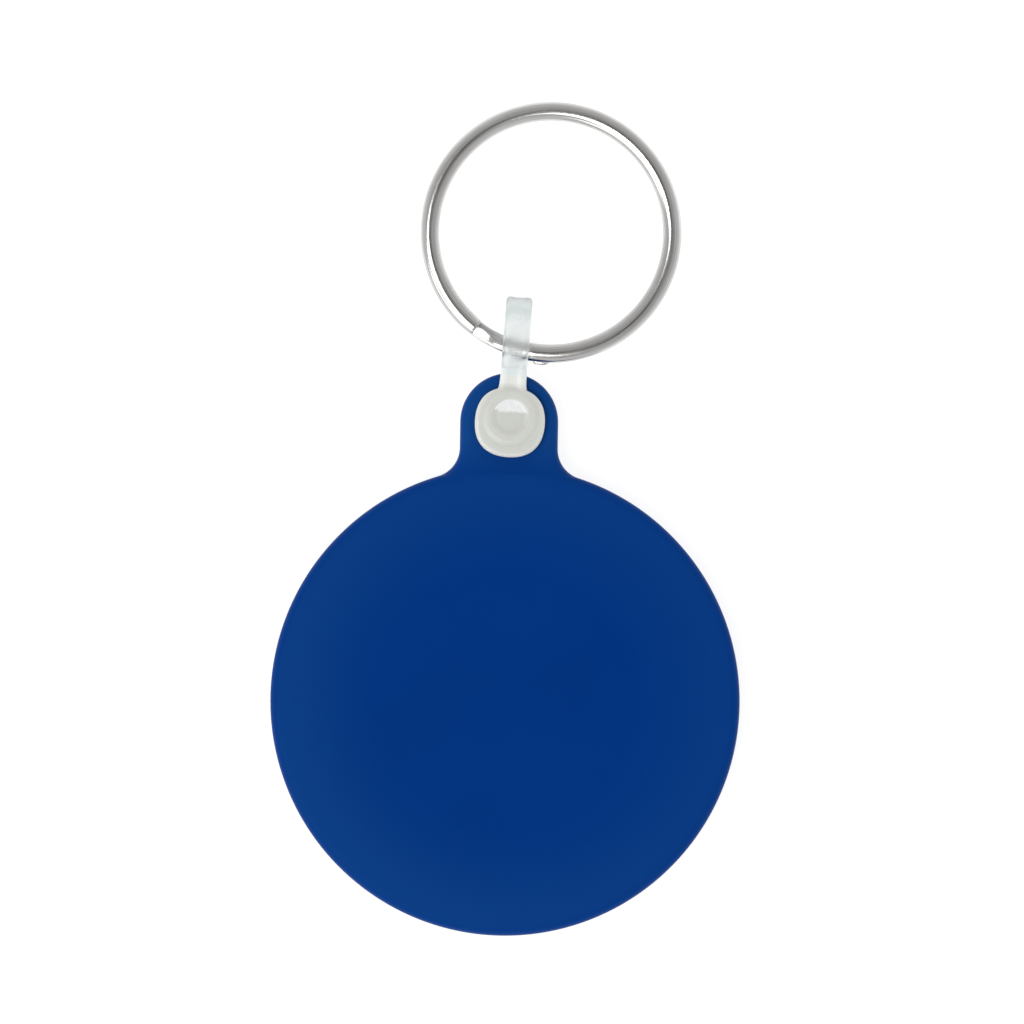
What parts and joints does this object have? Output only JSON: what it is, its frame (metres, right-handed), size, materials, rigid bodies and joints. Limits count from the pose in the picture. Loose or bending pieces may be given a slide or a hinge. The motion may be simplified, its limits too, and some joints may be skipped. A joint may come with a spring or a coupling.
{
  "type": "transit token",
  "caption": "Contactless transit token key fob: round plastic casing with a hanging lug, a plastic snap strap through the lug and a steel split ring.",
  "frame": {"origin": "centre of the round casing's flat back face", "axes": "+Z out of the front face, -Z out of the back face, +Y from the middle of the casing towards the lug and the ring, +X to the right seen from the front. The strap is stored leaning a little to +X with the ring hanging in its loop, as pictured."},
  "size_m": [0.045, 0.08, 0.0053],
  "materials": {
    "casing": "satin moulded ABS, deep blue",
    "strap": "translucent natural plastic, lightly frosted",
    "steel": "nickel-plated spring steel, polished",
    "film": "clear polyester film, slightly yellow",
    "aluminium": "etched foil",
    "leads": "tinned copper alloy leads",
    "epoxy": "black moulding compound",
    "adhesive": "white double-sided tape"
  },
  "bodies": {
    "fob": {"front_shell": "casing", "back_shell": "casing", "adhesive_pad": "adhesive", "inlay_film": "film", "antenna_coil": "aluminium", "coil_bridge": "aluminium", "chip_lead_left": "leads", "chip_lead_right": "leads", "chip_package": "epoxy"},
    "strap": {"connector_strap": "strap"},
    "ring": {"split_ring": "steel"}
  },
  "joints": [
    {"name": "strap_swing", "type": "hinge", "parent": "fob", "child": "strap", "pos_m": [0.0001, 0.0272, 0.0017], "axis": [0, 0, 1], "range_deg": [-60, 75]},
    {"name": "ring_fold", "type": "hinge", "parent": "strap", "child": "ring", "pos_m": [0.00052, 0.03383, 0.00189], "axis": [0.9609, -0.277, 0], "range_deg": [-118, 118]}
  ]
}
